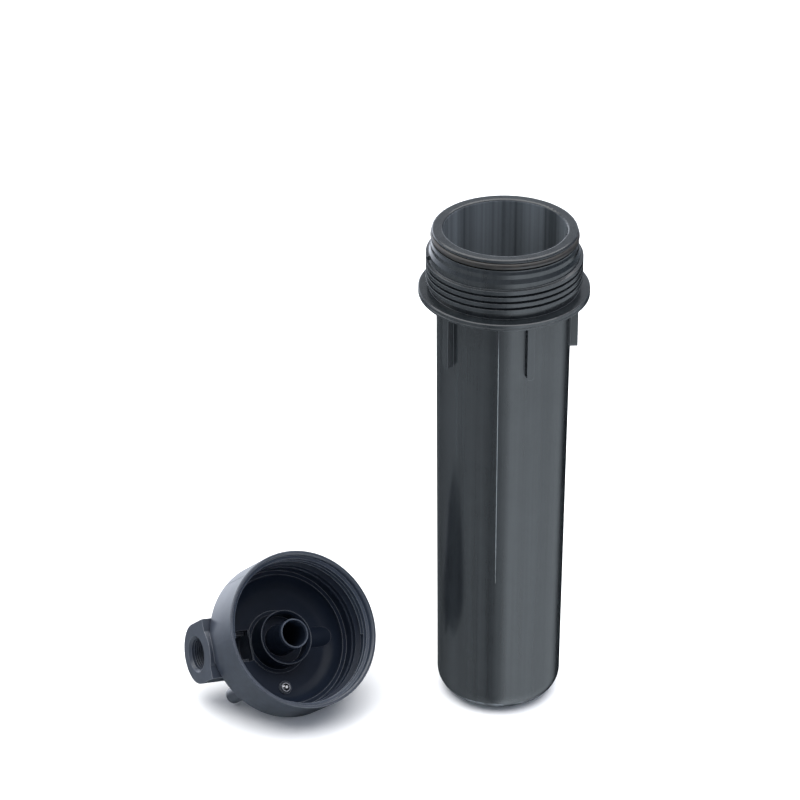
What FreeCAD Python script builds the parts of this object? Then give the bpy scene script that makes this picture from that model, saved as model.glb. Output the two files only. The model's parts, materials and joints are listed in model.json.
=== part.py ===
import FreeCAD, Part
import math
import os

import Sketcher

# Canister filter housing: a sump that stands on its base, and the screw-on
# head that lies beside it, mouth up, on one port, one boss and its skirt.
# Millimetres. The sump's axis is Z, and its base stands on Z = 0.
# The head is drawn in a frame of its own: Z runs from its mouth to its top,
# X points out of the inlet port. It is then laid down as one group.

SIZES = {
    # sump
    "sump_height": 395.0,          # floor to rim
    "tube_base_r": 47.0,           # outside, at the foot of the draft
    "tube_top_r": 49.6,            # outside, just under the flange
    "bore_base_r": 43.2,
    "bore_top_r": 45.0,
    "floor_thick": 5.0,
    "foot_round": 17.0,
    "foot_inner_round": 13.0,
    "flange_r": 63.0,
    "flange_thick": 5.2,
    "flange_drop": 47.0,           # rim down to the flange's upper face
    "rib_reach": 5.2,              # how far a rib stands out of the tube
    "rib_width": 5.6,
    "rib_length": 46.5,
    "rib_count": 5,
    "rib_heading": 74.0,           # direction of the first rib, degrees from +X
    "rim_r": 53.3,
    "rim_round": 1.7,
    "neck_r": 54.0,
    "land_drop": 9.5,              # rim down to where the neck widens
    "neck_drop": 15.0,             # rim down to the shoulder over the thread
    "shoulder_drop": 18.0,         # rim down to the thread's root cylinder
    # thread between sump and head
    "thread_root_r": 55.3,
    "thread_crest_r": 57.5,
    "thread_pitch": 5.0,
    "thread_base_width": 4.0,
    "thread_crest_width": 2.8,
    "thread_run": 21.6,            # axial travel of the sump's ridge
    "thread_start": 42.2,          # rim down to the lowest ridge
    "thread_gap": 0.4,             # radial clearance, crest to root
    "head_thread_start": 4.0,      # mouth up to the head's first ridge
    "head_thread_run": 12.6,
    "head_thread_base_width": 1.7,
    "head_thread_crest_width": 0.7,
    # main seal
    "ring_wire": 5.33,             # section of the sump's sealing ring
    "ring_squeeze": 0.5,           # radial squeeze when screwed home
    "groove_side_gap": 0.435,      # ring to each side of its groove
    "groove_drop": 2.3,            # rim down to the groove
    "seal_gap": 0.5,               # rim to the head's sealing bore
    # head
    "skirt_r": 61.0,
    "skirt_length": 39.5,
    "shoulder_r": 57.4,
    "dome_height": 55.5,           # mouth to the outside of the top plate
    "dome_bevel": 12.2,            # corner between the dome's wall and its top
    "dome_round": 8.6,
    "seat_depth": 38.0,            # mouth to the ledge that stops the rim
    "seat_r": 50.5,
    "ceiling_depth": 50.5,
    "ceiling_bevel": 7.2,          # corner between ceiling and wall
    "ceiling_round": 11.8,
    "lead_depth": 20.6,            # mouth to the end of the threaded bore
    "seal_depth": 28.6,            # mouth to the start of the sealing bore
    "wide_bore_gap": 1.3,          # rim to the bore ahead of the sealing bore
    # cartridge seat
    "collar_r": 21.2,
    "collar_tip_depth": 31.8,
    "collar_wall": 2.2,
    "foot_ring_r": 24.5,
    "foot_ring_step": 1.0,
    "hub_depth": 45.0,
    "spigot_tip_r": 11.45,
    "spigot_base_r": 12.2,
    "spigot_bore_r": 10.2,
    "spigot_tip_depth": 16.4,
    "spigot_straight": 16.0,       # length at the tip radius
    "spigot_press_depth": 55.0,
    "spigot_fit": 0.0,             # pressed in, face to face
    # ports
    "port_reach": 63.8,            # axis to port face
    "port_depth": 61.0,            # mouth to the port axis
    "port_bore_r": 12.1,
    "port_mouth_r": 14.0,
    "port_thread_length": 15.5,
    "passage_r": 9.8,
    "passage_wall": 3.4,
    "riser_r": 9.2,                # up from the spigot to the outlet passage
    "tube_r": 17.0,                # outside of the tube between the ports
    "block_half_width": 23.2,
    "block_centre_depth": 59.4,
    "block_front_depth": 40.4,
    "block_length": 26.0,
    "inlet_slot_width": 24.0,
    "inlet_slot_inner": 22.6,
    "inlet_slot_outer": 42.0,
    "inlet_slot_top": 58.0,
    "foot_gap_width": 28.6,        # where the foot ring stops for the inlet
    # bracket bosses
    "boss_circle_r": 47.5,
    "boss_r": 6.4,
    "boss_depth": 72.8,            # mouth to the bosses' end faces
    "boss_hole_r": 2.5,
    "boss_hole_depth": 14.0,
    "web_thick": 3.2,
    # relief valve
    "valve_offset": 36.0,          # head axis to valve axis
    "valve_boss_r": 7.2,
    "valve_boss_depth": 59.8,
    "valve_well_r": 5.2,
    "valve_floor_depth": 54.0,
    "valve_hole_r": 1.9,
    "valve_seat_r": 5.0,
    "valve_seat_step": 1.3,
    "button_gap": 0.3,             # button to its well
    "button_end_depth": 62.3,
    "button_skirt_depth": 56.4,
    "button_pocket_r": 4.0,
    "button_roof": 3.4,
    "button_travel": 2.0,
    "stem_r": 1.5,
    "stem_tip_depth": 47.4,
    "stem_grip": 1.8,              # length pressed into the button
    "spring_mean_r": 3.35,
    "spring_wire_r": 0.3,
    "spring_pitch": 1.15,
    "small_ring_wire": 1.6,
    "small_ring_gap": 0.06,
    "washer_r": 3.7,
    "washer_thick": 0.4,
    "washer_slots": 6,
    "washer_slot_width": 0.5,
    "washer_slot_length": 1.3,
    # how the head lies
    "head_heading": 35.2,          # the mouth's direction, degrees from -Y to +X
    "head_x": -149.1,
    "head_y": -35.7,
}

doc = FreeCAD.newDocument("filter_housing")
sheet = doc.addObject("Spreadsheet::Sheet", "dims")
for row, (alias, size) in enumerate(SIZES.items(), start=1):
    sheet.set("A%d" % row, alias)
    sheet.set("B%d" % row, str(size))
    sheet.setAlias("B%d" % row, alias)
doc.recompute()


def cell(text):
    """Turn plain size names in an expression into references to the sheet."""
    words = []
    for word in text.split():
        words.append("dims." + word if word in SIZES else word)
    return " ".join(words)


def number_of(text):
    """What an expression of sizes comes to; * and / bind before + and -."""
    total, term, sign, step = 0.0, None, 1, "*"
    for word in text.split():
        if word in ("+", "-"):
            total += sign * term
            term = None
            sign = 1 if word == "+" else -1
        elif word in ("*", "/"):
            step = word
        else:
            number = SIZES[word] if word in SIZES else None
            if number is None:
                number = math.cos(math.radians(45)) if word == "cos(45)" else float(word)
            if term is None:
                term = number
            else:
                term = term * number if step == "*" else term / number
    return total + sign * term


def new_body(label):
    body = doc.addObject("PartDesign::Body", label)
    body.Label = label
    return body


def origin_plane(body, role):
    for feature in body.Origin.OriginFeatures:
        if feature.Role == role:
            return feature
    raise ValueError("no origin plane " + role)


def new_sketch(body, name, role="XZ_Plane", lift="0"):
    """A sketch on one of the body's own planes, lifted along its normal."""
    sketch = body.newObject("Sketcher::SketchObject", name)
    sketch.AttachmentSupport = [(origin_plane(body, role), "")]
    sketch.MapMode = "FlatFace"
    if lift != "0":
        sketch.setExpression("AttachmentOffset.Base.z", cell(lift))
    return sketch


def bind(sketch, kind, geo, point, text):
    """Hold one coordinate of a sketch point at an expression."""
    axis = -2 if kind == "DistanceX" else -1
    if text == "0":
        sketch.addConstraint(Sketcher.Constraint("PointOnObject", geo, point, axis))
        return
    place = sketch.getPoint(geo, point)
    now = place.x if kind == "DistanceX" else place.y
    index = sketch.addConstraint(Sketcher.Constraint(kind, -1, 1, geo, point, now))
    sketch.setExpression("Constraints[%d]" % index, cell(text))


def outline(sketch, corners):
    """A closed straight-sided outline whose corners are pairs of expressions."""
    first = sketch.GeometryCount
    count = len(corners)
    spots = [FreeCAD.Vector(number_of(across), number_of(along), 0)
             for across, along in corners]
    for i in range(count):
        sketch.addGeometry(Part.LineSegment(spots[i], spots[(i + 1) % count]))
    for i in range(count):
        after = first + (i + 1) % count
        sketch.addConstraint(Sketcher.Constraint("Coincident", first + i, 2, after, 1))
    for i, (across, along) in enumerate(corners):
        bind(sketch, "DistanceX", first + i, 1, across)
        bind(sketch, "DistanceY", first + i, 1, along)


def circle(sketch, across, along, radius):
    spot = FreeCAD.Vector(number_of(across), number_of(along), 0)
    size = number_of(radius)
    geo = sketch.addGeometry(Part.Circle(spot, FreeCAD.Vector(0, 0, 1), size))
    bind(sketch, "DistanceX", geo, 3, across)
    bind(sketch, "DistanceY", geo, 3, along)
    index = sketch.addConstraint(Sketcher.Constraint("Radius", geo, size))
    sketch.setExpression("Constraints[%d]" % index, cell(radius))


def turned(body, name, corners, cut=False):
    """Turn an outline of (radius, height) corners about the body's Z axis."""
    sketch = new_sketch(body, name + "_outline")
    outline(sketch, corners)
    kind = "PartDesign::Groove" if cut else "PartDesign::Revolution"
    feature = body.newObject(kind, name)
    feature.Profile = sketch
    feature.ReferenceAxis = (sketch, ["V_Axis"])
    feature.Angle = 360
    doc.recompute()
    return feature


def padded(body, name, sketch, length, midplane=False, reverse=False):
    feature = body.newObject("PartDesign::Pad", name)
    feature.Profile = sketch
    feature.setExpression("Length", cell(length))
    feature.Midplane = midplane
    feature.Reversed = reverse
    doc.recompute()
    return feature


def pocketed(body, name, sketch, depth, midplane=False, reverse=False):
    """Cut a sketch down to a depth, and make sure that something was cut."""
    before = body.Shape.Volume
    feature = body.newObject("PartDesign::Pocket", name)
    feature.Profile = sketch
    feature.setExpression("Length", cell(depth))
    feature.Midplane = midplane
    feature.Reversed = reverse
    doc.recompute()
    if body.Shape.Volume >= before - 1e-6:
        raise RuntimeError(name + " cuts nothing")
    return feature


def ridge(body, name, corners, pitch, run):
    """A helical ridge about the body's Z axis."""
    sketch = new_sketch(body, name + "_outline")
    outline(sketch, corners)
    feature = body.newObject("PartDesign::AdditiveHelix", name)
    feature.Profile = sketch
    feature.ReferenceAxis = (sketch, ["V_Axis"])
    feature.Mode = 0
    feature.setExpression("Pitch", cell(pitch))
    feature.setExpression("Height", cell(run))
    doc.recompute()
    return feature


def around(body, name, feature, count, axis_sketch):
    pattern = body.newObject("PartDesign::PolarPattern", name)
    pattern.Originals = feature if isinstance(feature, list) else [feature]
    pattern.Axis = (axis_sketch, ["N_Axis"])
    pattern.Angle = 360
    pattern.Occurrences = count
    body.Tip = pattern
    doc.recompute()
    return pattern


def rounded(body, name, radius, wanted):
    """Round the edges of the body's last feature that a test picks out."""
    base = body.Tip
    picks = ["Edge%d" % (i + 1) for i, edge in enumerate(base.Shape.Edges) if wanted(edge)]
    if not picks:
        raise RuntimeError(name + " finds no edge")
    feature = body.newObject("PartDesign::Fillet", name)
    feature.Base = (base, picks)
    feature.setExpression("Radius", cell(radius))
    doc.recompute()
    return feature


def ring_edge(radius, height, slack=0.02):
    """A test for full circles of a given radius about Z at a given height."""
    def test(edge):
        curve = edge.Curve
        if not hasattr(curve, "Radius") or len(edge.Vertexes) > 1:
            return False
        centre = curve.Center
        near_axis = math.hypot(centre.x, centre.y) < 0.01
        return near_axis and abs(curve.Radius - radius) < slack and abs(centre.z - height) < 0.02
    return test


# ---------------------------------------------------------------- sump

def make_sump_body():
    body = new_body("sump_body")
    flange_top = "sump_height - flange_drop"
    flange_low = flange_top + " - flange_thick"
    groove_top = "sump_height - groove_drop"
    groove_low = groove_top + " - ring_wire - 2 * groove_side_gap"
    groove_r = "rim_r + seal_gap + ring_squeeze - ring_wire"
    turned(body, "tube", [
        ("0", "0"),
        ("tube_base_r", "0"),
        ("tube_top_r", flange_low),
        ("flange_r - 0.4", flange_low),
        ("flange_r", flange_low + " + 0.4"),
        ("flange_r", flange_low + " + 1.6"),
        ("flange_r - 0.5", flange_low + " + 2.0"),
        ("flange_r", flange_low + " + 2.4"),
        ("flange_r", flange_top + " - 0.7"),
        ("flange_r - 0.7", flange_top + " - 0.1"),
        ("thread_root_r", flange_top + " + 0.6"),
        ("thread_root_r", "sump_height - shoulder_drop"),
        ("neck_r", "sump_height - neck_drop"),
        ("neck_r", "sump_height - land_drop - 2.0"),
        ("rim_r", "sump_height - land_drop"),
        ("rim_r", groove_low),
        (groove_r, groove_low),
        (groove_r, groove_top),
        ("rim_r", groove_top),
        ("rim_r", "sump_height"),
        ("0", "sump_height"),
    ])
    turned(body, "bore", [
        ("0", "floor_thick"),
        ("bore_base_r", "floor_thick"),
        ("bore_top_r", "sump_height + 1"),
        ("0", "sump_height + 1"),
    ], cut=True)
    rim = SIZES["sump_height"]
    outer_rim = ring_edge(SIZES["rim_r"], rim)
    inner_rim = ring_edge(SIZES["bore_top_r"], rim, 0.1)
    rounded(body, "rim_edges", "rim_round", lambda edge: outer_rim(edge) or inner_rim(edge))
    rounded(body, "foot_inside", "foot_inner_round",
            ring_edge(SIZES["bore_base_r"], SIZES["floor_thick"]))
    rounded(body, "foot_edge", "foot_round", ring_edge(SIZES["tube_base_r"], 0))
    turned(body, "lower_seat", [
        ("collar_r - collar_wall", "floor_thick - 1"),
        ("collar_r + 0.6", "floor_thick - 1"),
        ("collar_r", "floor_thick + 8"),
        ("collar_r - 0.6", "floor_thick + 8"),
        ("collar_r - collar_wall", "floor_thick + 5"),
    ])
    turned(body, "lower_pilot", [
        ("0", "floor_thick - 1"),
        ("spigot_base_r", "floor_thick - 1"),
        ("spigot_tip_r", "floor_thick + 11"),
        ("spigot_tip_r - 2", "floor_thick + 14"),
        ("0", "floor_thick + 14"),
    ])
    ridge(body, "thread", [
        ("thread_root_r - 0.3", "sump_height - thread_start - thread_base_width / 2 - 0.1"),
        ("thread_crest_r", "sump_height - thread_start - thread_crest_width / 2"),
        ("thread_crest_r", "sump_height - thread_start + thread_crest_width / 2"),
        ("thread_root_r - 0.3", "sump_height - thread_start + thread_base_width / 2 + 0.1"),
    ], "thread_pitch", "thread_run")
    rib_foot = flange_low + " - rib_length + rib_width / 2"
    rib_sketch = new_sketch(body, "rib_outline", "YZ_Plane", "tube_top_r - 2.4")
    outline(rib_sketch, [
        ("0 - rib_width / 2", rib_foot),
        ("rib_width / 2", rib_foot),
        ("rib_width / 2", flange_low + " + 1"),
        ("0 - rib_width / 2", flange_low + " + 1"),
    ])
    rib = padded(body, "rib", rib_sketch, "rib_reach + 2.4")
    end_sketch = new_sketch(body, "rib_end_outline", "YZ_Plane", "tube_top_r - 2.4")
    circle(end_sketch, "0", rib_foot, "rib_width / 2")
    rib_end = padded(body, "rib_end", end_sketch, "rib_reach + 2.4")
    axis_sketch = new_sketch(body, "rib_axis", "XY_Plane")
    around(body, "ribs", [rib, rib_end], int(SIZES["rib_count"]), axis_sketch)
    heading = FreeCAD.Rotation(FreeCAD.Vector(0, 0, 1), SIZES["rib_heading"])
    body.Placement = FreeCAD.Placement(FreeCAD.Vector(0, 0, 0), heading)
    return body


def make_sump_ring():
    ring = doc.addObject("Part::Torus", "sump_seal_ring")
    ring.Label = "sump_seal_ring"
    ring.setExpression("Radius1", cell("rim_r + seal_gap + ring_squeeze - ring_wire / 2"))
    ring.setExpression("Radius2", cell("ring_wire / 2"))
    ring.setExpression("Placement.Base.z", cell("sump_height - groove_drop - groove_side_gap - ring_wire / 2"))
    doc.recompute()
    return ring


# ---------------------------------------------------------------- head

def make_head_shell():
    body = new_body("head_shell")
    turned(body, "outside", [
        ("0", "0"),
        ("skirt_r - 0.5", "0"),
        ("skirt_r", "0.5"),
        ("skirt_r", "skirt_length - 0.7"),
        ("skirt_r - 0.7", "skirt_length"),
        ("shoulder_r", "skirt_length"),
        ("shoulder_r", "dome_height - dome_bevel"),
        ("shoulder_r - dome_bevel", "dome_height"),
        ("0", "dome_height"),
    ])
    bevel = SIZES["dome_bevel"]
    at_side = ring_edge(SIZES["shoulder_r"], SIZES["dome_height"] - bevel)
    at_top = ring_edge(SIZES["shoulder_r"] - bevel, SIZES["dome_height"])
    rounded(body, "dome_edge", "dome_round", lambda edge: at_side(edge) or at_top(edge))

    block_start = "port_reach - block_length"
    round_sketch = new_sketch(body, "block_round", "YZ_Plane", block_start)
    circle(round_sketch, "0", "block_centre_depth", "block_half_width")
    round_end = padded(body, "port_round", round_sketch, "block_length")
    flat_sketch = new_sketch(body, "block_flat", "YZ_Plane", block_start)
    outline(flat_sketch, [
        ("0 - block_half_width", "block_front_depth"),
        ("block_half_width", "block_front_depth"),
        ("block_half_width", "block_centre_depth"),
        ("0 - block_half_width", "block_centre_depth"),
    ])
    flat_end = padded(body, "port_flat", flat_sketch, "block_length")
    mirror = body.newObject("PartDesign::Mirrored", "far_port_block")
    mirror.Originals = [round_end, flat_end]
    mirror.MirrorPlane = (origin_plane(body, "YZ_Plane"), [""])
    body.Tip = mirror
    doc.recompute()

    tube_sketch = new_sketch(body, "middle_outline", "YZ_Plane")
    circle(tube_sketch, "0", "port_depth", "tube_r")
    padded(body, "middle_tube", tube_sketch, "2 * port_reach - block_length", midplane=True)

    arm = "boss_circle_r * cos(45)"
    boss_sketch = new_sketch(body, "boss_outline", "XY_Plane", "dome_height - 12")
    circle(boss_sketch, arm, "0 - " + arm, "boss_r")
    boss = padded(body, "bracket_boss", boss_sketch, "boss_depth - dome_height + 12")
    around(body, "bracket_bosses", boss, 2, boss_sketch)
    web_sketch = new_sketch(body, "web_outline", "XY_Plane", "dome_height - 6")
    outline(web_sketch, [
        (arm + " - web_thick / 2", "0 - " + arm),
        (arm + " + web_thick / 2", "0 - " + arm),
        (arm + " + web_thick / 2", "0 - tube_r / 2"),
        (arm + " - web_thick / 2", "0 - tube_r / 2"),
    ])
    web = padded(body, "boss_web", web_sketch, "boss_depth - dome_height")
    around(body, "boss_webs", web, 2, web_sketch)
    valve_sketch = new_sketch(body, "valve_boss_outline", "XY_Plane", "dome_height - 3")
    circle(valve_sketch, "0", "0 - valve_offset", "valve_boss_r")
    padded(body, "valve_boss", valve_sketch, "valve_boss_depth - dome_height + 3")

    turned(body, "cavity", [
        ("0", "-1"),
        ("thread_crest_r + thread_gap + 2", "-1"),
        ("thread_crest_r + thread_gap + 1", "0"),
        ("thread_crest_r + thread_gap", "1"),
        ("thread_crest_r + thread_gap", "lead_depth"),
        ("rim_r + wide_bore_gap", "lead_depth + 2.6"),
        ("rim_r + wide_bore_gap", "seal_depth - 0.8"),
        ("rim_r + seal_gap", "seal_depth"),
        ("rim_r + seal_gap", "seat_depth"),
        ("seat_r", "seat_depth"),
        ("seat_r", "ceiling_depth - ceiling_bevel"),
        ("seat_r - ceiling_bevel", "ceiling_depth"),
        ("foot_ring_r", "ceiling_depth"),
        ("foot_ring_r", "ceiling_depth - foot_ring_step"),
        ("collar_r + 0.5", "ceiling_depth - foot_ring_step"),
        ("collar_r", "collar_tip_depth"),
        ("collar_r - 0.6", "collar_tip_depth"),
        ("collar_r - collar_wall", "collar_tip_depth + 3"),
        ("collar_r - collar_wall", "hub_depth"),
        ("0", "hub_depth"),
    ], cut=True)
    bevel = SIZES["ceiling_bevel"]
    at_wall = ring_edge(SIZES["seat_r"], SIZES["ceiling_depth"] - bevel)
    at_ceiling = ring_edge(SIZES["seat_r"] - bevel, SIZES["ceiling_depth"])
    rounded(body, "ceiling_edge", "ceiling_round",
            lambda edge: at_wall(edge) or at_ceiling(edge))
    ridge(body, "head_thread", [
        ("thread_crest_r + thread_gap + 0.3", "head_thread_start - head_thread_base_width / 2 - 0.1"),
        ("thread_crest_r + thread_gap + 0.3", "head_thread_start + head_thread_base_width / 2 + 0.1"),
        ("thread_root_r + thread_gap", "head_thread_start + head_thread_crest_width / 2"),
        ("thread_root_r + thread_gap", "head_thread_start - head_thread_crest_width / 2"),
    ], "thread_pitch", "head_thread_run")

    bulge_sketch = new_sketch(body, "bulge_outline", "YZ_Plane", "6 - collar_r")
    circle(bulge_sketch, "0", "port_depth", "passage_r + passage_wall")
    padded(body, "outlet_bulge", bulge_sketch, "seat_r - collar_r + 5", reverse=True)
    turned(body, "spigot_socket", [
        ("0", "hub_depth - 1"),
        ("spigot_base_r + spigot_fit", "hub_depth - 1"),
        ("spigot_base_r + spigot_fit", "spigot_press_depth"),
        ("riser_r", "spigot_press_depth"),
        ("riser_r", "port_depth"),
        ("0", "port_depth"),
    ], cut=True)

    for side, reverse in (("inlet", False), ("outlet", True)):
        sign = "0 - " if reverse else ""
        mouth = new_sketch(body, side + "_thread_outline", "YZ_Plane", sign + "port_reach")
        circle(mouth, "0", "port_depth", "port_bore_r")
        pocketed(body, side + "_thread", mouth, "port_thread_length", reverse=reverse)
        chamfer_port(body, side, -1 if reverse else 1)
    run = new_sketch(body, "inlet_passage_outline", "YZ_Plane", "port_reach")
    circle(run, "0", "port_depth", "passage_r")
    pocketed(body, "inlet_passage", run, "port_reach - inlet_slot_inner")
    run = new_sketch(body, "outlet_passage_outline", "YZ_Plane", "0 - port_reach")
    circle(run, "0", "port_depth", "passage_r")
    pocketed(body, "outlet_passage", run, "port_reach + riser_r / 2", reverse=True)
    slot = new_sketch(body, "inlet_slot_outline", "XY_Plane", "inlet_slot_top")
    outline(slot, [
        ("inlet_slot_inner", "0 - inlet_slot_width / 2"),
        ("inlet_slot_outer", "0 - inlet_slot_width / 2"),
        ("inlet_slot_outer", "inlet_slot_width / 2"),
        ("inlet_slot_inner", "inlet_slot_width / 2"),
    ])
    pocketed(body, "inlet_slot", slot, "inlet_slot_top - ceiling_depth + 3")
    gap = new_sketch(body, "foot_gap_outline", "XY_Plane", "ceiling_depth")
    outline(gap, [
        ("inlet_slot_inner - 0.7", "0 - foot_gap_width / 2"),
        ("foot_ring_r + 1", "0 - foot_gap_width / 2"),
        ("foot_ring_r + 1", "foot_gap_width / 2"),
        ("inlet_slot_inner - 0.7", "foot_gap_width / 2"),
    ])
    pocketed(body, "foot_gap", gap, "foot_ring_step + 1")

    holes = new_sketch(body, "boss_holes_outline", "XY_Plane", "boss_depth")
    circle(holes, arm, "0 - " + arm, "boss_hole_r")
    circle(holes, "0 - " + arm, arm, "boss_hole_r")
    pocketed(body, "boss_holes", holes, "boss_hole_depth")

    seat = new_sketch(body, "valve_seat_outline", "XY_Plane", "ceiling_depth + 0.5")
    circle(seat, "0", "0 - valve_offset", "valve_seat_r")
    circle(seat, "0", "0 - valve_offset", "valve_seat_r - 0.9")
    padded(body, "valve_seat", seat, "valve_seat_step + 0.5", reverse=True)
    well = new_sketch(body, "valve_well_outline", "XY_Plane", "valve_boss_depth")
    circle(well, "0", "0 - valve_offset", "valve_well_r")
    pocketed(body, "valve_well", well, "valve_boss_depth - valve_floor_depth")
    hole = new_sketch(body, "valve_hole_outline", "XY_Plane", "valve_boss_depth")
    circle(hole, "0", "0 - valve_offset", "valve_hole_r")
    pocketed(body, "valve_hole", hole, "valve_boss_depth - ceiling_depth + 3")
    return body


def chamfer_port(body, side, sign):
    """Break the edge where a port's bore meets its face."""
    base = body.Tip
    reach = sign * SIZES["port_reach"]
    picks = []
    for i, edge in enumerate(base.Shape.Edges):
        curve = edge.Curve
        if hasattr(curve, "Radius") and abs(curve.Radius - SIZES["port_bore_r"]) < 0.01:
            if abs(curve.Center.x - reach) < 0.01:
                picks.append("Edge%d" % (i + 1))
    chamfer = body.newObject("PartDesign::Chamfer", side + "_mouth")
    chamfer.Base = (base, picks)
    chamfer.setExpression("Size", cell("port_mouth_r - port_bore_r"))
    doc.recompute()
    return chamfer


def make_outlet_spigot():
    body = new_body("outlet_spigot")
    turned(body, "tube_wall", [
        ("spigot_bore_r", "spigot_tip_depth + 0.3"),
        ("spigot_bore_r + 0.3", "spigot_tip_depth"),
        ("spigot_tip_r - 0.4", "spigot_tip_depth"),
        ("spigot_tip_r", "spigot_tip_depth + 0.4"),
        ("spigot_tip_r", "spigot_tip_depth + spigot_straight"),
        ("spigot_base_r", "hub_depth - 2"),
        ("spigot_base_r", "spigot_press_depth"),
        ("spigot_bore_r", "spigot_press_depth"),
    ])
    return body


def make_relief_button():
    body = new_body("relief_button")
    roof_low = "button_end_depth - button_roof"
    turned(body, "cap", [
        ("0", roof_low),
        ("button_pocket_r", roof_low),
        ("button_pocket_r", "button_skirt_depth"),
        ("valve_well_r - button_gap", "button_skirt_depth"),
        ("valve_well_r - button_gap", "button_end_depth - 1.0"),
        ("valve_well_r - button_gap - 1.0", "button_end_depth - 0.2"),
        ("valve_well_r - button_gap - 2.4", "button_end_depth"),
        ("0", "button_end_depth"),
    ])
    turned(body, "stem_hole", [
        ("0", roof_low + " - 1"),
        ("stem_r", roof_low + " - 1"),
        ("stem_r", roof_low + " + stem_grip"),
        ("0", roof_low + " + stem_grip"),
    ], cut=True)
    return body


def make_relief_stem():
    body = new_body("relief_stem")
    top = "button_end_depth - button_roof + stem_grip"
    turned(body, "pin", [
        ("0", "stem_tip_depth"),
        ("stem_r - 0.4", "stem_tip_depth"),
        ("stem_r", "stem_tip_depth + 0.4"),
        ("stem_r", top),
        ("0", top),
    ])
    return body


def make_relief_spring():
    body = new_body("relief_spring")
    sketch = new_sketch(body, "wire_outline")
    low = "valve_floor_depth + spring_wire_r + 0.05"
    circle(sketch, "spring_mean_r", low, "spring_wire_r")
    feature = body.newObject("PartDesign::AdditiveHelix", "coils")
    feature.Profile = sketch
    feature.ReferenceAxis = (sketch, ["V_Axis"])
    feature.Mode = 0
    feature.setExpression("Pitch", cell("spring_pitch"))
    room = "button_end_depth - button_roof - valve_floor_depth - 2 * spring_wire_r - 0.1"
    feature.setExpression("Height", cell(room))
    doc.recompute()
    return body


def make_relief_ring():
    ring = doc.addObject("Part::Torus", "relief_seal_ring")
    ring.Label = "relief_seal_ring"
    ring.setExpression("Radius1", cell("stem_r + small_ring_wire / 2"))
    ring.setExpression("Radius2", cell("small_ring_wire / 2"))
    doc.recompute()
    return ring


def make_star_washer():
    body = new_body("relief_star_washer")
    disc = new_sketch(body, "disc_outline", "XY_Plane", washer_height())
    circle(disc, "0", "0", "washer_r")
    padded(body, "disc", disc, "washer_thick")
    bore = new_sketch(body, "bore_outline", "XY_Plane", washer_height() + " + washer_thick")
    circle(bore, "0", "0", "stem_r")
    pocketed(body, "bore", bore, "washer_thick")
    slot = new_sketch(body, "slot_outline", "XY_Plane", washer_height() + " + washer_thick")
    outline(slot, [
        ("stem_r - 0.2", "0 - washer_slot_width / 2"),
        ("stem_r + washer_slot_length", "0 - washer_slot_width / 2"),
        ("stem_r + washer_slot_length", "washer_slot_width / 2"),
        ("stem_r - 0.2", "washer_slot_width / 2"),
    ])
    cut = pocketed(body, "slot", slot, "washer_thick")
    around(body, "slots", cut, int(SIZES["washer_slots"]), slot)
    return body


def washer_height():
    """The star washer bears on the small sealing ring, under the ceiling."""
    return "ceiling_depth - small_ring_gap - small_ring_wire - washer_thick"


# ---------------------------------------------------------------- how the head lies

def rest_up():
    """Up, in the head's own frame, when it lies on skirt, boss and outlet block.

    Each of the three touches the floor at the lowest point of a circle, which
    depends on which way is up, so the plane through them is found in turns.
    """
    arm = SIZES["boss_circle_r"] * math.cos(math.radians(45))
    up = FreeCAD.Vector(0.15, 0.75, -0.65)
    for _ in range(40):
        flat = math.hypot(up.x, up.y)
        side = FreeCAD.Vector(up.x / flat, up.y / flat, 0)
        skirt = side * (0.7 - SIZES["skirt_r"]) + FreeCAD.Vector(0, 0, SIZES["skirt_length"])
        boss = FreeCAD.Vector(arm, -arm, SIZES["boss_depth"]) - side * SIZES["boss_r"]
        flat = math.hypot(up.y, up.z)
        face = FreeCAD.Vector(0, up.y / flat, up.z / flat)
        block = FreeCAD.Vector(-SIZES["port_reach"], 0, SIZES["block_centre_depth"])
        block = block - face * SIZES["block_half_width"]
        up = (boss - skirt).cross(block - skirt)
        if up.z > 0:
            up = up * -1
        up.normalize()
    return up


def head_rotation():
    """Turn the head so that its rest direction is up and its mouth has its heading."""
    up = rest_up()
    mouth = FreeCAD.Vector(0, 0, -1)
    level = mouth - up * up.dot(mouth)
    level.normalize()
    across = up.cross(level)
    own = FreeCAD.Matrix(level.x, across.x, up.x, 0,
                         level.y, across.y, up.y, 0,
                         level.z, across.z, up.z, 0,
                         0, 0, 0, 1)
    turn = math.radians(SIZES["head_heading"])
    ahead = FreeCAD.Vector(math.sin(turn), -math.cos(turn), 0)
    beside = FreeCAD.Vector(0, 0, 1).cross(ahead)
    world = FreeCAD.Matrix(ahead.x, beside.x, 0, 0,
                           ahead.y, beside.y, 0, 0,
                           ahead.z, beside.z, 1, 0,
                           0, 0, 0, 1)
    return FreeCAD.Placement(world * own.inverse()).Rotation


def lay_down(head_parts, valve_parts):
    """Place the head's pieces, with the lowest of them just on the floor."""
    rotation = head_rotation()
    offset = FreeCAD.Vector(0, -SIZES["valve_offset"], 0)
    spots = [(part, FreeCAD.Vector(0, 0, 0)) for part in head_parts]
    spots += [(part, offset) for part in valve_parts]
    lowest = 1e9
    for part, spot in spots:
        shape = part.Shape.copy()
        shape.Placement = FreeCAD.Placement(rotation.multVec(spot), rotation).multiply(
            shape.Placement)
        lowest = min(lowest, shape.optimalBoundingBox(False, False).ZMin)
    origin = FreeCAD.Vector(SIZES["head_x"], SIZES["head_y"], -lowest)
    for part, spot in spots:
        own = FreeCAD.Placement(part.Placement)
        part.Placement = FreeCAD.Placement(origin + rotation.multVec(spot), rotation).multiply(own)
    doc.recompute()
    return origin, rotation


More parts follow.
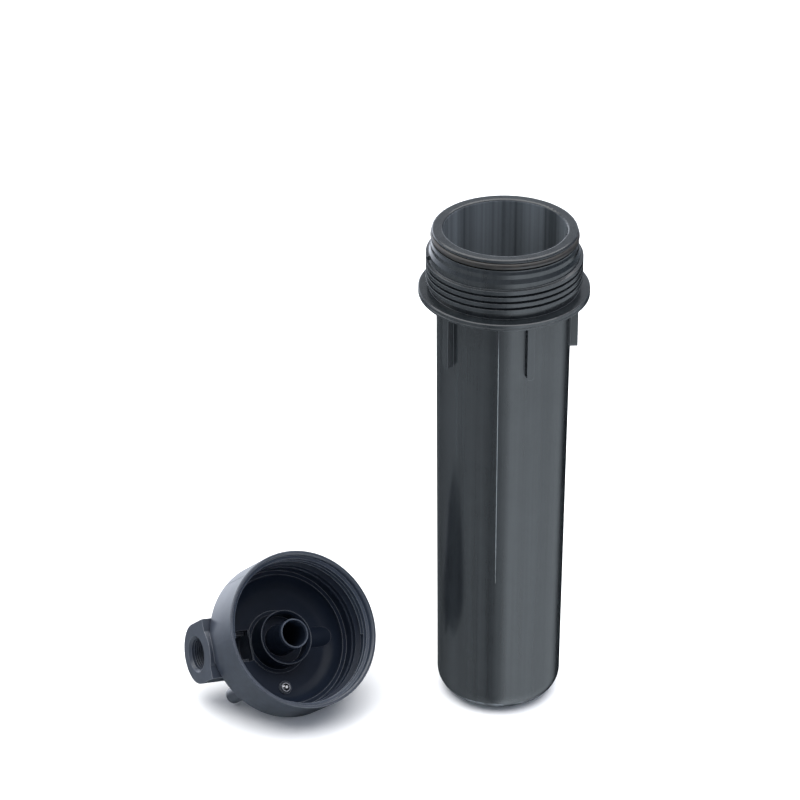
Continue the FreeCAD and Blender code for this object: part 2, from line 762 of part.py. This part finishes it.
sump_parts = [make_sump_body(), make_sump_ring()]
head_parts = [make_head_shell(), make_outlet_spigot()]
valve_parts = [make_relief_button(), make_relief_stem(), make_relief_spring(),
               make_relief_ring(), make_star_washer()]
small_ring = valve_parts[3]
ring_height = (SIZES["ceiling_depth"] - SIZES["small_ring_gap"] - SIZES["small_ring_wire"] / 2)
small_ring.Placement.Base = FreeCAD.Vector(0, 0, ring_height)
doc.recompute()
mouth_centre, head_turn = lay_down(head_parts, valve_parts)
print("mouth centre", mouth_centre, "mouth axis", head_turn.multVec(FreeCAD.Vector(0, 0, -1)),
      "inlet axis", head_turn.multVec(FreeCAD.Vector(1, 0, 0)))

parts = sump_parts + head_parts + valve_parts
for item in doc.Objects:
    if "Invalid" in item.State or "Error" in item.State:
        raise RuntimeError("%s: %s" % (item.Label, item.State))
os.makedirs("parts", exist_ok=True)
for part in parts:
    shape = part.Shape
    if shape.isNull() or not shape.isValid() or len(shape.Solids) != 1:
        raise RuntimeError("%s is not one valid solid" % part.Label)
for part in parts:
    part.Shape.exportStep("parts/%s.step" % part.Label)
    box = part.Shape.BoundBox
    print("%-20s %10.1f mm3  Z %.2f to %.2f" % (part.Label, part.Shape.Volume, box.ZMin, box.ZMax))
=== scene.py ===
"""A canister filter housing: the sump stands upright and the ported head lies beside it, mouth up."""
import json
import math

import bmesh
import bpy
from mathutils import Matrix, Vector


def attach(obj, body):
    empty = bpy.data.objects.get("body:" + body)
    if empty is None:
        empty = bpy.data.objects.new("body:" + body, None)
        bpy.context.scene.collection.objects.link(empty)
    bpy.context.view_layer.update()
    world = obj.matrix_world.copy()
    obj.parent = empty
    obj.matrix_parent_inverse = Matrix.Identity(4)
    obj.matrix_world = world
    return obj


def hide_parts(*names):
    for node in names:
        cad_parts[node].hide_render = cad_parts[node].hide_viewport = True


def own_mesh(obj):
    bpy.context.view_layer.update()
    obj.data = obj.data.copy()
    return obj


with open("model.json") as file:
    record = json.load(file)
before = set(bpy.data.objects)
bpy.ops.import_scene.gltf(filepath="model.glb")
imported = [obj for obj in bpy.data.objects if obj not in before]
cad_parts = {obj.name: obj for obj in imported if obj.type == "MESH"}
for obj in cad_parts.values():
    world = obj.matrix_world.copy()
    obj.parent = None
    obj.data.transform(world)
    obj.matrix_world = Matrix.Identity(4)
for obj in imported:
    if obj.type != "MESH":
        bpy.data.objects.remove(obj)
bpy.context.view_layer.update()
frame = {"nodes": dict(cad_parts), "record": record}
NODES = frame["nodes"]
MOUNTS = {mount["name"]: mount for mount in frame["record"]["mounts"]}
MM = 0.001

# ---------------------------------------------------------------- where the head lies

SPIGOT_MOUNT_DEPTH = 24.0 * MM     # mouth to the spigot mount's point

mouth_axis = Vector(MOUNTS["cartridge_spigot"]["axis"]).normalized()
inlet_axis = Vector(MOUNTS["inlet_port"]["axis"]).normalized()
top_axis = -mouth_axis
side_axis = top_axis.cross(inlet_axis).normalized()
mouth_centre = Vector(MOUNTS["cartridge_spigot"]["pos_m"]) - top_axis * SPIGOT_MOUNT_DEPTH


def head_place(x=0.0, y=0.0, z=0.0):
    """A point of the head's own frame, in millimetres: x along the inlet, z from the mouth up."""
    return mouth_centre + (inlet_axis * x + side_axis * y + top_axis * z) * MM


def frame_matrix(origin, x_axis, y_axis, z_axis):
    matrix = Matrix.Identity(4)
    for column, axis in enumerate((x_axis, y_axis, z_axis)):
        for row in range(3):
            matrix[row][column] = axis[row]
    matrix.translation = origin
    return matrix


# ---------------------------------------------------------------- materials

NOISE_LOW, NOISE_HIGH = 0.3, 0.7            # the part of a noise's range that it mostly fills
FLAT, SHARP, EDGE_HIGHLIGHT_PEAK = 0.99, 0.80, 0.8    # how alike two normals are, and the painted highlight at an edge


def fill_ramp(ramp, stops):
    while len(ramp.elements) < len(stops):
        ramp.elements.new(0.5)
    for element, (position, colour) in zip(ramp.elements, stops):
        element.position = position
        element.color = (*colour, 1.0)


class Shader:
    """A material's node tree, with short calls for the nodes that the finishes share."""

    def __init__(self, name):
        self.material = bpy.data.materials.new(name)
        self.material.use_nodes = True
        self.tree = self.material.node_tree
        self.tree.nodes.clear()
        self.output = self.tree.nodes.new("ShaderNodeOutputMaterial")
        self.surface = self.tree.nodes.new("ShaderNodeBsdfPrincipled")
        self.tree.links.new(self.surface.outputs["BSDF"], self.output.inputs["Surface"])
        self.place = self.tree.nodes.new("ShaderNodeTexCoord").outputs["Object"]

    def link(self, source, node, socket):
        self.tree.links.new(source, node.inputs[socket])

    def mapped(self, scale):
        node = self.tree.nodes.new("ShaderNodeMapping")
        node.inputs["Scale"].default_value = scale
        self.link(self.place, node, "Vector")
        return node.outputs["Vector"]

    def noise(self, scale, detail=4.0, roughness=0.55, vector=None):
        node = self.tree.nodes.new("ShaderNodeTexNoise")
        node.inputs["Scale"].default_value = scale
        node.inputs["Detail"].default_value = detail
        node.inputs["Roughness"].default_value = roughness
        self.link(vector or self.place, node, "Vector")
        return node.outputs["Fac"]

    def ramp(self, source, stops):
        node = self.tree.nodes.new("ShaderNodeValToRGB")
        fill_ramp(node.color_ramp, stops)
        self.link(source, node, "Fac")
        return node.outputs["Color"]

    def span(self, source, low, high):
        node = self.tree.nodes.new("ShaderNodeMapRange")
        node.inputs["From Min"].default_value = NOISE_LOW
        node.inputs["From Max"].default_value = NOISE_HIGH
        node.inputs["To Min"].default_value = low
        node.inputs["To Max"].default_value = high
        self.link(source, node, "Value")
        return node.outputs["Result"]

    def mix(self, factor, first, second):
        node = self.tree.nodes.new("ShaderNodeMix")
        node.data_type = "RGBA"
        if isinstance(factor, float):
            node.inputs[0].default_value = factor
        else:
            self.tree.links.new(factor, node.inputs[0])
        for index, colour in ((6, first), (7, second)):
            if isinstance(colour, tuple):
                node.inputs[index].default_value = (*colour, 1.0)
            else:
                self.tree.links.new(colour, node.inputs[index])
        return node.outputs[2]

    def bump(self, height, distance, strength=1.0, edge=0.0):
        node = self.tree.nodes.new("ShaderNodeBump")
        node.inputs["Distance"].default_value = distance
        node.inputs["Strength"].default_value = strength
        self.link(height, node, "Height")
        if edge:
            soft = self.tree.nodes.new("ShaderNodeBevel")
            soft.samples = 6
            soft.inputs["Radius"].default_value = edge
            self.link(soft.outputs["Normal"], node, "Normal")
        self.link(node.outputs["Normal"], self.surface, "Normal")

    def edges(self, radius):
        """How much painted highlight each point gets: the peak amount at a sharp edge, and 0 away
        from any.
        """
        soft = self.tree.nodes.new("ShaderNodeBevel")
        soft.samples = 8
        soft.inputs["Radius"].default_value = radius
        flat = self.tree.nodes.new("ShaderNodeNewGeometry").outputs["Normal"]
        turn = self.tree.nodes.new("ShaderNodeVectorMath")
        turn.operation = "DOT_PRODUCT"
        self.tree.links.new(soft.outputs["Normal"], turn.inputs[0])
        self.tree.links.new(flat, turn.inputs[1])
        node = self.tree.nodes.new("ShaderNodeMapRange")
        node.inputs["From Min"].default_value = FLAT
        node.inputs["From Max"].default_value = SHARP
        node.inputs["To Max"].default_value = EDGE_HIGHLIGHT_PEAK
        self.link(turn.outputs["Value"], node, "Value")
        return node.outputs["Result"]

    def inside(self, radius):
        """1 nearer to the Z axis than radius, else 0."""
        node = self.tree.nodes.new("ShaderNodeVectorMath")
        node.operation = "LENGTH"
        self.link(self.mapped((1.0, 1.0, 0.0)), node, 0)
        test = self.tree.nodes.new("ShaderNodeMath")
        test.operation = "LESS_THAN"
        test.inputs[1].default_value = radius
        self.link(node.outputs["Value"], test, 0)
        return test.outputs[0]

    def in_head(self, radius, low, high):
        """1 nearer to the head's axis than radius and between two depths from its mouth."""
        def vector(operation, first, second):
            node = self.tree.nodes.new("ShaderNodeVectorMath")
            node.operation = operation
            for index, value in enumerate((first, second)):
                if isinstance(value, Vector):
                    node.inputs[index].default_value = value
                else:
                    self.link(value, node, index)
            return node

        def compare(operation, value, limit):
            node = self.tree.nodes.new("ShaderNodeMath")
            node.operation = operation
            self.link(value, node, 0)
            node.inputs[1].default_value = limit
            return node.outputs[0]

        offset = vector("SUBTRACT", self.place, mouth_centre).outputs["Vector"]
        depth = vector("DOT_PRODUCT", offset, top_axis).outputs["Value"]
        across = vector("CROSS_PRODUCT", offset, top_axis).outputs["Vector"]
        length = vector("LENGTH", across, Vector()).outputs["Value"]
        tests = (compare("LESS_THAN", length, radius), compare("GREATER_THAN", depth, low),
                 compare("LESS_THAN", depth, high))
        product = tests[0]
        for test in tests[1:]:
            node = self.tree.nodes.new("ShaderNodeMath")
            node.operation = "MULTIPLY"
            self.link(product, node, 0)
            self.link(test, node, 1)
            product = node.outputs[0]
        return product

    def set(self, **values):
        for socket, value in values.items():
            self.surface.inputs[socket.replace("_", " ")].default_value = value


def moulded_plastic(name, dark, light, edge_highlight, roughness, specular, coat, streak, edge, bore=None,
                    hollow=()):
    """Dark moulded plastic: draw marks along Z, mottling, a fine skin, and sharp edges painted pale
    as a highlight.

    bore is (radius, dark, light) for a bore about Z whose wall is given a paler colour, streaked
    along Z: painted light on the inner wall.
    hollow holds (radius, low, high, colour, specular) for each zone about the head's axis: painted
    shade inside the head, bluer near the lip and much darker deeper in, each with a lower specular
    level.
    """
    shader = Shader(name)
    draw_marks = shader.noise(1.0, 5.0, 0.6, shader.mapped((150.0, 150.0, streak)))
    mottle = shader.noise(38.0, 6.0, 0.6)
    blend = shader.mix(0.35, shader.ramp(draw_marks, ((0.34, dark), (0.68, light))),
                       shader.ramp(mottle, ((0.30, dark), (0.75, light))))
    # Painted light: the bore's wall is coloured much paler than the outside, with streaks along Z.
    if bore:
        radius, bore_dark, bore_light = bore
        drag = shader.noise(1.0, 3.0, 0.7, shader.mapped((74.0, 74.0, 0.4)))
        wall = shader.ramp(drag, ((0.36, bore_dark), (0.62, bore_light)))
        blend = shader.mix(shader.inside(radius), blend, wall)
    shine = (specular, specular, specular)
    # Painted shade inside the head: each zone swaps in its own colour and a lower specular level.
    for radius, low, high, colour, dulled in hollow:
        within = shader.in_head(radius, low, high)
        blend = shader.mix(within, blend, shader.ramp(mottle, (
            (0.3, tuple(0.8 * level for level in colour)), (0.7, colour))))
        shine = shader.mix(within, shine, (dulled, dulled, dulled))
    # Sharp edges are mixed towards a pale colour: a painted highlight along every edge.
    shader.link(shader.mix(shader.edges(edge * 1.6), blend, edge_highlight), shader.surface, "Base Color")
    wear = shader.noise(9.0, 8.0, 0.7)
    shader.link(shader.span(wear, roughness - 0.05, roughness + 0.07), shader.surface, "Roughness")
    skin = shader.noise(2600.0, 2.0, 0.5)
    shader.bump(skin, 0.00003, 0.35, edge)
    shader.set(IOR=1.49, Coat_Weight=coat, Coat_Roughness=0.12)
    if hollow:
        shader.link(shine, shader.surface, "Specular IOR Level")
    else:
        shader.set(Specular_IOR_Level=specular)
    return shader.material


def rubber(name, dark, light):
    shader = Shader(name)
    film = shader.noise(140.0, 6.0, 0.65)
    shader.link(shader.ramp(film, ((0.32, dark), (0.72, light))), shader.surface, "Base Color")
    shader.link(shader.span(film, 0.30, 0.52), shader.surface, "Roughness")
    shader.bump(shader.noise(900.0, 3.0, 0.5), 0.00004, 0.4)
    shader.set(Specular_IOR_Level=0.55)
    return shader.material


def bright_steel(name, dark, light):
    shader = Shader(name)
    grain = shader.noise(1.0, 4.0, 0.6, shader.mapped((3200.0, 900.0, 900.0)))
    shader.link(shader.ramp(grain, ((0.3, dark), (0.7, light))), shader.surface, "Base Color")
    shader.link(shader.span(grain, 0.16, 0.34), shader.surface, "Roughness")
    shader.bump(grain, 0.00002, 0.4)
    shader.set(Metallic=1.0)
    return shader.material


# Inside this radius the sump's bore is painted paler: painted light.
SUMP_BORE_RADIUS = 0.04512
# The zones inside the head painted in shade, by radius about its axis and depth from its mouth.
HOLLOW_RADIUS = 0.0585
LIP_DEPTH, MID_DEPTH, CEILING_DEPTH = 0.0012, 0.0200, 0.0530
SUMP_STREAK, EVEN_GRAIN = 1.6, 60.0    # scale of the draw marks along Z

# In every finish below, the edge colour is a painted highlight along sharp edges.
SUMP = moulded_plastic(
    "sump_charcoal", dark=(0.009, 0.011, 0.013), light=(0.021, 0.025, 0.028),
    edge_highlight=(0.070, 0.080, 0.088), roughness=0.20, specular=0.50, coat=0.0, streak=SUMP_STREAK,
    edge=0.0005, bore=(SUMP_BORE_RADIUS, (0.045, 0.052, 0.058), (0.150, 0.168, 0.185)))
HEAD_PLASTIC = moulded_plastic(
    "head_slate", dark=(0.021, 0.026, 0.037), light=(0.032, 0.040, 0.056),
    edge_highlight=(0.190, 0.205, 0.230), roughness=0.34, specular=0.50, coat=0.0, streak=EVEN_GRAIN,
    edge=0.0006,
    hollow=((HOLLOW_RADIUS, LIP_DEPTH, MID_DEPTH, (0.030, 0.040, 0.060), 0.24),
            (HOLLOW_RADIUS, MID_DEPTH, CEILING_DEPTH, (0.012, 0.017, 0.029), 0.09)))
BUTTON = moulded_plastic(
    "button_red", dark=(0.20, 0.010, 0.010), light=(0.34, 0.018, 0.016), edge_highlight=(0.42, 0.06, 0.05),
    roughness=0.32, specular=0.50, coat=0.2, streak=EVEN_GRAIN, edge=0.0003)
SEAL = rubber("greased_rubber", (0.008, 0.007, 0.006), (0.024, 0.020, 0.016))
STEEL = bright_steel("bright_stainless", (0.40, 0.39, 0.37), (0.72, 0.71, 0.68))
# The sump's flash lines: the raised line is real, its pale colour is a painted highlight.
SUMP_FLASH_HIGHLIGHT = moulded_plastic(
    "sump_flash_painted_highlight", dark=(0.100, 0.118, 0.130), light=(0.260, 0.290, 0.305),
    edge_highlight=(0.340, 0.360, 0.370), roughness=0.20, specular=0.50, coat=0.0, streak=SUMP_STREAK,
    edge=0.0002)
# A darker copy of the stainless for the star washer: painted shade deep inside the head.
WASHER_SHADED_STEEL = bright_steel("shaded_stainless", (0.10, 0.10, 0.11), (0.34, 0.34, 0.35))


def dress(node, material):
    mesh = NODES[node].data
    mesh.materials.clear()
    mesh.materials.append(material)


FINISHES = {
    "sump_body": SUMP,
    "sump_seal_ring": SEAL,
    "head_shell": HEAD_PLASTIC,
    "outlet_spigot": HEAD_PLASTIC,
    "relief_button": BUTTON,
    "relief_stem": STEEL,
    "relief_spring": STEEL,
    "relief_seal_ring": SEAL,
    "relief_star_washer": STEEL,
}
for node, material in FINISHES.items():
    dress(node, material)

# ---------------------------------------------------------------- pieces of their own


def new_piece(name, mesh, material, body):
    mesh.materials.clear()
    mesh.materials.append(material)
    for polygon in mesh.polygons:
        polygon.use_smooth = True
    piece = bpy.data.objects.new(name, mesh)
    bpy.context.scene.collection.objects.link(piece)
    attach(piece, body)
    return piece


def coil_group():
    """A round wire wound about Z: turns, radius, height and wire radius, with a material."""
    group = bpy.data.node_groups.new("wound_wire", "GeometryNodeTree")
    group.interface.new_socket("Geometry", in_out="OUTPUT", socket_type="NodeSocketGeometry")
    for name in ("Turns", "Radius", "Height", "Wire"):
        group.interface.new_socket(name, in_out="INPUT", socket_type="NodeSocketFloat")
    group.interface.new_socket("Material", in_out="INPUT", socket_type="NodeSocketMaterial")
    given = group.nodes.new("NodeGroupInput")
    spiral = group.nodes.new("GeometryNodeCurveSpiral")
    spiral.inputs["Resolution"].default_value = 72
    section = group.nodes.new("GeometryNodeCurvePrimitiveCircle")
    section.inputs["Resolution"].default_value = 10
    sweep = group.nodes.new("GeometryNodeCurveToMesh")
    sweep.inputs["Fill Caps"].default_value = True
    finish = group.nodes.new("GeometryNodeSetMaterial")
    real = group.nodes.new("GeometryNodeRealizeInstances")
    result = group.nodes.new("NodeGroupOutput")
    for source, node, socket in (
            (given.outputs["Turns"], spiral, "Rotations"),
            (given.outputs["Radius"], spiral, "Start Radius"),
            (given.outputs["Radius"], spiral, "End Radius"),
            (given.outputs["Height"], spiral, "Height"),
            (given.outputs["Wire"], section, "Radius"),
            (spiral.outputs["Curve"], sweep, "Curve"),
            (section.outputs["Curve"], sweep, "Profile Curve"),
            (sweep.outputs["Mesh"], real, "Geometry"),
            (real.outputs["Geometry"], finish, "Geometry"),
            (given.outputs["Material"], finish, "Material"),
            (finish.outputs["Geometry"], result, "Geometry")):
        group.links.new(source, node.inputs[socket])
    return group


COIL = coil_group()


def wound(name, body, material, place, turns, radius, height, wire):
    """A coil in its own frame, baked to a mesh and then put in its place."""
    carrier = bpy.data.objects.new(name + "_maker", bpy.data.meshes.new(name + "_maker"))
    bpy.context.scene.collection.objects.link(carrier)
    maker = carrier.modifiers.new("coil", "NODES")
    maker.node_group = COIL
    values = {"Turns": float(turns), "Radius": radius * MM, "Height": height * MM,
              "Wire": wire * MM, "Material": material}
    for item in COIL.interface.items_tree:
        if item.item_type == "SOCKET" and item.in_out == "INPUT":
            maker[item.identifier] = values[item.name]
    graph = bpy.context.evaluated_depsgraph_get()
    mesh = bpy.data.meshes.new_from_object(carrier.evaluated_get(graph))
    bpy.data.objects.remove(carrier)
    mesh.name = name
    mesh.transform(place)
    return new_piece(name, mesh, material, body)


PORT_BORE = 12.1
PORT_AXIS_UP = 61.0            # mouth to the ports' axis
PORT_THREAD_FROM, PORT_THREAD_LENGTH, PORT_PITCH, PORT_RIDGE = 60.6, 12.0, 1.814, 0.62
PORT_THREAD_PROUD = 0.05       # the ridge's middle, past the bore
for name, sense in (("inlet_thread", 1.0), ("outlet_thread", -1.0)):
    outward = inlet_axis * sense
    inner_end = head_place(sense * (PORT_THREAD_FROM - PORT_THREAD_LENGTH), 0, PORT_AXIS_UP)
    place = frame_matrix(inner_end, top_axis, outward.cross(top_axis), outward)
    wound(name, "head", HEAD_PLASTIC, place, PORT_THREAD_LENGTH / PORT_PITCH,
          PORT_BORE + PORT_THREAD_PROUD, PORT_THREAD_LENGTH, PORT_RIDGE)

VALVE_Y = -36.0
SPRING_LOW, SPRING_HIGH, SPRING_WIRE = 54.35, 58.55, 0.30
SPRING_RADIUS, SPRING_PITCH = 3.35, 1.15
spring = wound("relief_coil", "head", STEEL,
               frame_matrix(head_place(0, VALVE_Y, SPRING_LOW), inlet_axis, side_axis, top_axis),
               (SPRING_HIGH - SPRING_LOW) / SPRING_PITCH, SPRING_RADIUS,
               SPRING_HIGH - SPRING_LOW, SPRING_WIRE)
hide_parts("relief_spring")
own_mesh(spring)


def make_star_washer():
    """A push-on washer: a flat rim, and teeth that rise towards the pin."""
    rim_high, rim_low, tooth_high, thick, round_edge = 48.44, 48.84, 47.72, 0.30, 0.12
    rim_inner, rim_face, rim_outer, tooth_root, tooth_tip = 2.75, 3.5, 3.7, 2.85, 1.56
    teeth, parts, half_gap, steps_around = 6, 5, 0.14, 72
    mesh = bpy.data.meshes.new("star_washer")
    work = bmesh.new()

    def ring_of(radius, z, angles):
        return [work.verts.new(head_place(radius * math.cos(a), VALVE_Y + radius * math.sin(a), z))
                for a in angles]

    def strip(inner, outer, closed):
        count = len(inner)
        for index in range(count if closed else count - 1):
            after = (index + 1) % count
            work.faces.new((inner[index], inner[after], outer[after], outer[index]))

    around = [2 * math.pi * k / steps_around for k in range(steps_around)]
    rings = [ring_of(r, z, around) for r, z in (
        (rim_inner, rim_high), (rim_face, rim_high), (rim_outer, rim_high + round_edge),
        (rim_outer, rim_low), (rim_inner, rim_low))]
    for first, second in zip(rings, rings[1:] + rings[:1]):
        strip(first, second, True)
    for tooth in range(teeth):
        middle = 2 * math.pi * (tooth + 0.5) / teeth
        reach = math.pi / teeth - half_gap
        angles = [middle + reach * (2 * k / parts - 1) for k in range(parts + 1)]
        outer_top = ring_of(tooth_root, rim_high, angles)
        inner_top = ring_of(tooth_tip, tooth_high, angles)
        outer_low = ring_of(tooth_root, rim_high + thick, angles)
        inner_low = ring_of(tooth_tip, tooth_high + thick, angles)
        strip(inner_top, outer_top, False)
        strip(outer_top, outer_low, False)
        strip(outer_low, inner_low, False)
        strip(inner_low, inner_top, False)
        for end in (0, -1):
            work.faces.new((inner_top[end], outer_top[end], outer_low[end], inner_low[end]))
    bmesh.ops.recalc_face_normals(work, faces=work.faces)
    work.to_mesh(mesh)
    work.free()
    # The washer takes the darker copy of the steel: painted shade.
    washer = new_piece("star_washer", mesh, WASHER_SHADED_STEEL, "relief_valve")
    for polygon in mesh.polygons:
        polygon.use_smooth = False
    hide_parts("relief_star_washer")


make_star_washer()


def parting_line(name, body, material, start, end, out, width, height):
    """A low rounded flash line from start to end, standing on a wall whose outward way is out."""
    along = (end - start).normalized()
    across = along.cross(out).normalized()
    mesh = bpy.data.meshes.new(name)
    work = bmesh.new()
    section = [(math.cos(math.pi * k / 6), math.sin(math.pi * k / 6)) for k in range(7)]
    rows = []
    for step in range(9):
        share = step / 8
        taper = 0.35 if step in (0, 8) else 1.0
        middle = start.lerp(end, share) - out * 0.06 * MM
        rows.append([work.verts.new(middle + across * (c * width * taper * MM / 2)
                                    + out * ((s * height * taper + (0.0 if 0 < s else -0.1)) * MM))
                     for c, s in section])
    for first, second in zip(rows, rows[1:]):
        for index in range(6):
            work.faces.new((first[index], first[index + 1], second[index + 1], second[index]))
        work.faces.new((first[6], first[0], second[0], second[6]))
    work.faces.new(rows[0])
    work.faces.new(rows[-1])
    bmesh.ops.recalc_face_normals(work, faces=work.faces)
    work.to_mesh(mesh)
    work.free()
    return new_piece(name, mesh, material, body)


TUBE_BASE, TUBE_TOP, TUBE_HEIGHT = 47.0, 49.6, 343.0
SKIRT_RADIUS = 61.0
FLASH_WIDTH, SUMP_FLASH_HEIGHT, HEAD_FLASH_HEIGHT = 0.6, 0.22, 0.24
SUMP_FLASH_TOP = 340.0
HEAD_FLASH_ENDS = (1.2, 38.5)


def sump_wall(heading, z):
    """A point on the drafted tube, heading in degrees from straight ahead, and the way out."""
    out = Vector((math.sin(math.radians(heading)), -math.cos(math.radians(heading)), 0.0))
    radius = TUBE_BASE + (TUBE_TOP - TUBE_BASE) * z / TUBE_HEIGHT
    return out * (radius * MM) + Vector((0, 0, z * MM)), out


# The sump's flash lines take the painted highlight colour.
for name, heading, low in (("sump_parting_front", -5.6, 120.0), ("sump_parting_back", 174.4, 60.0)):
    low_point, out = sump_wall(heading, low)
    high_point, _ = sump_wall(heading, SUMP_FLASH_TOP)
    parting_line(name, "sump", SUMP_FLASH_HIGHLIGHT, low_point, high_point, out, FLASH_WIDTH, SUMP_FLASH_HEIGHT)

for name, heading in (("head_parting_side", 49.6), ("head_parting_far", 229.6)):
    spread = (math.cos(math.radians(heading)), math.sin(math.radians(heading)))
    out = (inlet_axis * spread[0] + side_axis * spread[1]).normalized()
    ends = [head_place(SKIRT_RADIUS * spread[0], SKIRT_RADIUS * spread[1], z)
            for z in HEAD_FLASH_ENDS]
    parting_line(name, "head", HEAD_PLASTIC, ends[0], ends[1], out, FLASH_WIDTH,
                 HEAD_FLASH_HEIGHT)

# ---------------------------------------------------------------- floor, light and camera

FLOOR_REACH, FLOOR_DROP = 9.0, 0.0002
CAMERA_PLACE = (-0.0761, -2.3709, 1.5938)
CAMERA_TILT, CAMERA_LENS, SENSOR_WIDTH, FAR_CLIP = 60.475, 164.9, 36.0, 50.0


def make_floor():
    mesh = bpy.data.meshes.new("floor")
    corners = [(x * FLOOR_REACH, y * FLOOR_REACH, 0) for x, y in ((-1, -1), (1, -1), (1, 1), (-1, 1))]
    mesh.from_pydata(corners, [], [(0, 1, 2, 3)])
    floor = bpy.data.objects.new("floor", mesh)
    floor.location.z = -FLOOR_DROP
    bpy.context.scene.collection.objects.link(floor)
    shader = Shader("pale_floor")
    shade = shader.noise(2.0, 2.0, 0.5)
    colour = shader.ramp(shade, ((0.2, (0.95, 0.95, 0.95)), (0.8, (0.98, 0.98, 0.98))))
    shader.link(colour, shader.surface, "Base Color")
    shader.set(Roughness=0.9, Specular_IOR_Level=0.1)
    mesh.materials.append(shader.material)
    floor.visible_glossy = False


def soft_light(name, place, aim, size, power):
    lamp = bpy.data.lights.new(name, "AREA")
    lamp.shape = "RECTANGLE"
    lamp.size, lamp.size_y = size
    lamp.energy = power
    light = bpy.data.objects.new(name, lamp)
    light.location = place
    light.rotation_euler = (Vector(aim) - Vector(place)).to_track_quat("-Z", "Y").to_euler()
    bpy.context.scene.collection.objects.link(light)


# The studio below the horizon, as (share of a turn, level). The turn starts behind the object and
# goes by its left: a wide dim panel on the left, a gap, a brighter panel at the front and right,
# and black past it. All have one tint.
PANEL_TINT = (0.90, 1.00, 1.08)
PANEL_STRENGTH = 3.128
LOW_PANELS = ((0.12, 0.04), (0.25, 0.20), (0.34, 0.25), (0.41, 0.25), (0.45, 0.10),
              (0.50, 0.35), (0.54, 0.85), (0.65, 0.70), (0.83, 0.30), (0.88, 0.00))
# The walls round the object and the light over it, as (share of a turn, colour).
WALL_STRENGTH = 3.0
WALLS = ((0.00, (0.85, 0.90, 1.0)), (0.10, (0.85, 0.90, 1.0)), (0.17, (0.42, 0.46, 0.54)),
         (0.30, (0.12, 0.14, 0.17)), (0.45, (0.10, 0.11, 0.13)), (0.62, (0.05, 0.06, 0.08)),
         (0.80, (0.02, 0.03, 0.04)), (0.93, (0.12, 0.13, 0.15)), (1.00, (0.85, 0.90, 1.0)))
SKY = ((0.00, (0.40, 0.42, 0.46)), (0.25, (0.45, 0.48, 0.53)), (0.50, (0.38, 0.41, 0.46)),
       (0.72, (1.00, 1.05, 1.20)), (1.00, (0.40, 0.42, 0.46)))
# Between which heights (Z of the direction) one layer gives way to the next.
PANELS_TO_WALLS, WALLS_TO_SKY = (-0.40, -0.28), (0.10, 0.40)


def make_world():
    """Studio surroundings in three layers. The lower two are what the glossy walls mirror."""
    world = bpy.data.worlds.new("studio")
    bpy.context.scene.world = world
    world.use_nodes = True
    tree = world.node_tree
    tree.nodes.clear()

    def math_node(operation, first, second=None):
        node = tree.nodes.new("ShaderNodeMath")
        node.operation = operation
        for index, value in enumerate((first, second)):
            if value is None:
                continue
            if isinstance(value, float):
                node.inputs[index].default_value = value
            else:
                tree.links.new(value, node.inputs[index])
        return node.outputs[0]

    def span(source, low, high):
        node = tree.nodes.new("ShaderNodeMapRange")
        node.interpolation_type = "SMOOTHSTEP"
        node.inputs["From Min"].default_value = low
        node.inputs["From Max"].default_value = high
        tree.links.new(source, node.inputs["Value"])
        return node.outputs["Result"]

    def ramp_node(source, stops):
        node = tree.nodes.new("ShaderNodeValToRGB")
        fill_ramp(node.color_ramp, stops)
        tree.links.new(source, node.inputs["Fac"])
        return node.outputs["Color"]

    def glow(colour, strength):
        node = tree.nodes.new("ShaderNodeBackground")
        tree.links.new(colour, node.inputs["Color"])
        node.inputs["Strength"].default_value = strength
        return node.outputs[0]

    def layered(factor, below, above):
        node = tree.nodes.new("ShaderNodeMixShader")
        tree.links.new(factor, node.inputs[0])
        tree.links.new(below, node.inputs[1])
        tree.links.new(above, node.inputs[2])
        return node.outputs[0]

    where = tree.nodes.new("ShaderNodeTexCoord")
    parts = tree.nodes.new("ShaderNodeSeparateXYZ")
    tree.links.new(where.outputs["Generated"], parts.inputs[0])
    front = math_node("MULTIPLY", parts.outputs["Y"], -1.0)
    heading = math_node("ARCTAN2", parts.outputs["X"], front)
    turn = math_node("MULTIPLY_ADD", heading, 1.0 / (2 * math.pi))
    turn.node.inputs[2].default_value = 0.5
    height = parts.outputs["Z"]
    panels = [(place, tuple(level * part for part in PANEL_TINT)) for place, level in LOW_PANELS]
    low = glow(ramp_node(turn, panels), PANEL_STRENGTH)
    middle = glow(ramp_node(turn, WALLS), WALL_STRENGTH)
    high = glow(ramp_node(turn, SKY), 1.0)
    horizon = layered(span(height, *PANELS_TO_WALLS), low, middle)
    sky = layered(span(height, *WALLS_TO_SKY), horizon, high)
    output = tree.nodes.new("ShaderNodeOutputWorld")
    tree.links.new(sky, output.inputs["Surface"])


def make_camera():
    lens = bpy.data.cameras.new("camera")
    lens.lens = CAMERA_LENS
    lens.sensor_width = SENSOR_WIDTH
    lens.clip_end = FAR_CLIP
    camera = bpy.data.objects.new("camera", lens)
    camera.location = CAMERA_PLACE
    camera.rotation_euler = (math.radians(CAMERA_TILT), 0.0, 0.0)
    bpy.context.scene.collection.objects.link(camera)
    bpy.context.scene.camera = camera


make_floor()
make_world()
soft_light("top_soft", (0.0, 0.3, 3.0), (0.0, 0.1, 0.0), (4.8, 4.8), 240.0)
soft_light("left_soft", (-1.8, 0.3, 1.5), (-0.15, 0.0, 0.1), (1.2, 1.2), 12.0)
make_camera()
bpy.context.scene.view_settings.view_transform = "Standard"
